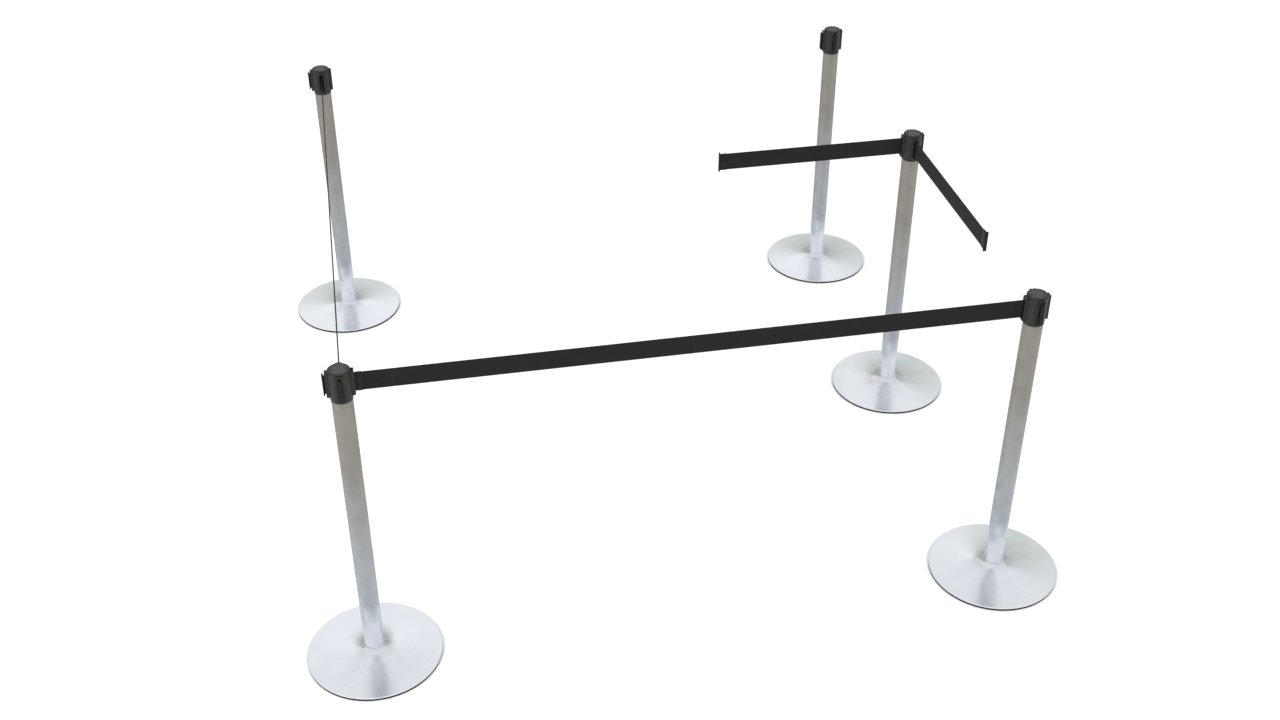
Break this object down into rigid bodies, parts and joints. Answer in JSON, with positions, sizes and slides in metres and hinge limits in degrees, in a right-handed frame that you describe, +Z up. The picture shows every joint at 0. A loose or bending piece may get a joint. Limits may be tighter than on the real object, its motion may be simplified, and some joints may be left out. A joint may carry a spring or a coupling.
{
  "type": "crowd control barrier",
  "caption": "Retractable-belt barrier: metal posts on round bases stand on a rectangular plan, joined by drawn black belts.",
  "frame": {"origin": "on the floor, midway between the four corner posts", "axes": "+X from the front left post to the front right post, +Y from the front left post to the back left post, +Z up"},
  "size_m": [2.047, 2.072, 0.893],
  "materials": {
    "cast_iron": "rough cast",
    "spun_steel": "spun satin",
    "brushed_steel": "brushed satin",
    "rubber": "matt",
    "head_plastic": "fine texture",
    "cap_plastic": "satin",
    "fastener_steel": "blackened",
    "reel_plastic": "moulded",
    "clip_plastic": "moulded",
    "webbing": "woven polyester"
  },
  "bodies": {
    "post_a": {"a_base_weight": "cast_iron", "a_base_cover": "spun_steel", "a_floor_ring": "rubber", "a_tube": "brushed_steel", "a_head_housing": "head_plastic", "a_head_cap": "cap_plastic", "a_fasteners": "fastener_steel"},
    "a_left_reel": {"a_left_reel": "reel_plastic"},
    "a_left_clip": {"a_left_clip": "clip_plastic"},
    "a_front_reel": {"a_front_reel": "reel_plastic"},
    "a_front_clip": {"a_front_clip": "clip_plastic"},
    "post_b": {"b_base_weight": "cast_iron", "b_base_cover": "spun_steel", "b_floor_ring": "rubber", "b_tube": "brushed_steel", "b_head_housing": "head_plastic", "b_head_cap": "cap_plastic", "b_fasteners": "fastener_steel"},
    "b_left_reel": {"b_left_reel": "reel_plastic"},
    "b_left_clip": {"b_left_clip": "clip_plastic", "b_left_belt": "webbing"},
    "b_front_reel": {"b_front_reel": "reel_plastic"},
    "b_front_clip": {"b_front_clip": "clip_plastic"},
    "post_c": {"c_base_weight": "cast_iron", "c_base_cover": "spun_steel", "c_floor_ring": "rubber", "c_tube": "brushed_steel", "c_head_housing": "head_plastic", "c_head_cap": "cap_plastic", "c_fasteners": "fastener_steel"},
    "c_left_reel": {"c_left_reel": "reel_plastic"},
    "c_left_clip": {"c_left_clip": "clip_plastic", "c_left_belt": "webbing"},
    "c_front_reel": {"c_front_reel": "reel_plastic"},
    "c_front_clip": {"c_front_clip": "clip_plastic", "c_front_belt": "webbing"},
    "post_d": {"d_base_weight": "cast_iron", "d_base_cover": "spun_steel", "d_floor_ring": "rubber", "d_tube": "brushed_steel", "d_head_housing": "head_plastic", "d_head_cap": "cap_plastic", "d_fasteners": "fastener_steel"},
    "d_left_reel": {"d_left_reel": "reel_plastic"},
    "d_left_clip": {"d_left_clip": "clip_plastic"},
    "d_front_reel": {"d_front_reel": "reel_plastic"},
    "d_front_clip": {"d_front_clip": "clip_plastic"},
    "post_e": {"e_base_weight": "cast_iron", "e_base_cover": "spun_steel", "e_floor_ring": "rubber", "e_tube": "brushed_steel", "e_head_housing": "head_plastic", "e_head_cap": "cap_plastic", "e_fasteners": "fastener_steel"},
    "e_left_reel": {"e_left_reel": "reel_plastic"},
    "e_left_clip": {"e_left_clip": "clip_plastic"},
    "e_front_reel": {"e_front_reel": "reel_plastic"},
    "e_front_clip": {"e_front_clip": "clip_plastic", "e_front_belt": "webbing"}
  },
  "joints": [
    {"name": "post_b_move", "type": "slide", "parent": "post_a", "child": "post_b", "axis": [1, 0, 0], "range_m": [-1.2, 0.1], "deforming": ["b_left_belt"]},
    {"name": "post_c_move", "type": "slide", "parent": "post_a", "child": "post_c", "axis": [1, 0, 0], "range_m": [0, 0.6]},
    {"name": "post_d_move", "type": "slide", "parent": "post_a", "child": "post_d", "axis": [0, 1, 0], "range_m": [0, 0.6]},
    {"name": "post_e_move", "type": "slide", "parent": "post_a", "child": "post_e", "axis": [0, 1, 0], "range_m": [-1.2, 0.075], "deforming": ["e_front_belt"]},
    {"name": "a_left_clip_pull", "type": "slide", "parent": "post_a", "child": "a_left_clip", "axis": [-1, 0, 0], "range_m": [0, 1.73], "stiffness_N_per_m": 1.5, "springref_m": -2},
    {"name": "a_left_reel_turn", "type": "hinge", "parent": "post_a", "child": "a_left_reel", "pos_m": [-0.855, -0.8494, 0.854], "axis": [0, 0, 1], "range_deg": [-12719, 1]},
    {"name": "a_front_clip_pull", "type": "slide", "parent": "post_a", "child": "a_front_clip", "axis": [0, -1, 0], "range_m": [0, 1.73], "stiffness_N_per_m": 1.5, "springref_m": -2},
    {"name": "a_front_reel_turn", "type": "hinge", "parent": "post_a", "child": "a_front_reel", "pos_m": [-0.8369, -0.8675, 0.854], "axis": [0, 0, 1], "range_deg": [-1, 12719]},
    {"name": "b_front_clip_pull", "type": "slide", "parent": "post_b", "child": "b_front_clip", "axis": [0, -1, 0], "range_m": [0, 1.73], "stiffness_N_per_m": 1.5, "springref_m": -2},
    {"name": "b_front_reel_turn", "type": "hinge", "parent": "post_b", "child": "b_front_reel", "pos_m": [0.8601, -0.8675, 0.854], "axis": [0, 0, 1], "range_deg": [-1, 12719]},
    {"name": "e_left_clip_pull", "type": "slide", "parent": "post_e", "child": "e_left_clip", "axis": [-1, 0, 0], "range_m": [0, 1.73], "stiffness_N_per_m": 1.5, "springref_m": -2},
    {"name": "e_left_reel_turn", "type": "hinge", "parent": "post_e", "child": "e_left_reel", "pos_m": [-0.855, 0.8726, 0.854], "axis": [0, 0, 1], "range_deg": [-12719, 1]},
    {"name": "d_left_clip_pull", "type": "slide", "parent": "post_d", "child": "d_left_clip", "axis": [-1, 0, 0], "range_m": [0, 1.6], "stiffness_N_per_m": 1.5, "springref_m": -2},
    {"name": "d_left_reel_turn", "type": "hinge", "parent": "post_d", "child": "d_left_reel", "pos_m": [0.842, 0.8726, 0.854], "axis": [0, 0, 1], "range_deg": [-11268, 1]},
    {"name": "d_front_clip_pull", "type": "slide", "parent": "post_d", "child": "d_front_clip", "axis": [0, -1, 0], "range_m": [0, 0.72], "stiffness_N_per_m": 1.5, "springref_m": -2},
    {"name": "d_front_reel_turn", "type": "hinge", "parent": "post_d", "child": "d_front_reel", "pos_m": [0.8601, 0.8545, 0.854], "axis": [0, 0, 1], "range_deg": [-1, 4210]},
    {"name": "c_left_clip_pull", "type": "slide", "parent": "post_c", "child": "c_left_clip", "axis": [-1, 0, 0], "range_m": [-0.545, 1], "deforming": ["c_left_belt"]},
    {"name": "c_left_reel_turn", "type": "hinge", "parent": "post_c", "child": "c_left_reel", "pos_m": [0.842, 0.0646, 0.854], "axis": [0, 0, 1], "range_deg": [-6930, 3778]},
    {"name": "c_front_clip_pull", "type": "slide", "parent": "post_c", "child": "c_front_clip", "axis": [0, -1, 0], "range_m": [-0.545, 0.28], "deforming": ["c_front_belt"]},
    {"name": "c_front_reel_turn", "type": "hinge", "parent": "post_c", "child": "c_front_reel", "pos_m": [0.8601, 0.0465, 0.854], "axis": [0, 0, 1], "range_deg": [-3241, 1666]},
    {"name": "b_left_clip_pull", "type": "slide", "parent": "post_b", "child": "b_left_clip", "axis": [-1, 0, 0], "range_m": [-1.2, 0.1]},
    {"name": "b_left_reel_turn", "type": "hinge", "parent": "post_b", "child": "b_left_reel", "pos_m": [0.842, -0.8494, 0.854], "axis": [0, 0, 1], "range_deg": [-794, 9516]},
    {"name": "e_front_clip_pull", "type": "slide", "parent": "post_e", "child": "e_front_clip", "axis": [0, -1, 0], "range_m": [-1.2, 0.075]},
    {"name": "e_front_reel_turn", "type": "hinge", "parent": "post_e", "child": "e_front_reel", "pos_m": [-0.8369, 0.8545, 0.854], "axis": [0, 0, 1], "range_deg": [-9563, 599]}
  ],
  "couplings": [
    {"joint": "a_left_reel_turn", "follows": "a_left_clip_pull", "rad_per_m": -128.3},
    {"joint": "a_front_reel_turn", "follows": "a_front_clip_pull", "rad_per_m": 128.3},
    {"joint": "b_front_reel_turn", "follows": "b_front_clip_pull", "rad_per_m": 128.3},
    {"joint": "e_left_reel_turn", "follows": "e_left_clip_pull", "rad_per_m": -128.3},
    {"joint": "d_left_reel_turn", "follows": "d_left_clip_pull", "rad_per_m": -122.9},
    {"joint": "d_front_reel_turn", "follows": "d_front_clip_pull", "rad_per_m": 102.01},
    {"joint": "c_left_reel_turn", "follows": "c_left_clip_pull", "rad_per_m": -120.93},
    {"joint": "c_front_reel_turn", "follows": "c_front_clip_pull", "rad_per_m": 103.75},
    {"joint": "b_left_reel_turn", "follows": "post_b_move", "rad_per_m": -138.39},
    {"joint": "b_left_clip_pull", "follows": "post_b_move", "ratio": 1},
    {"joint": "e_front_reel_turn", "follows": "post_e_move", "rad_per_m": 139.06},
    {"joint": "e_front_clip_pull", "follows": "post_e_move", "ratio": 1}
  ]
}
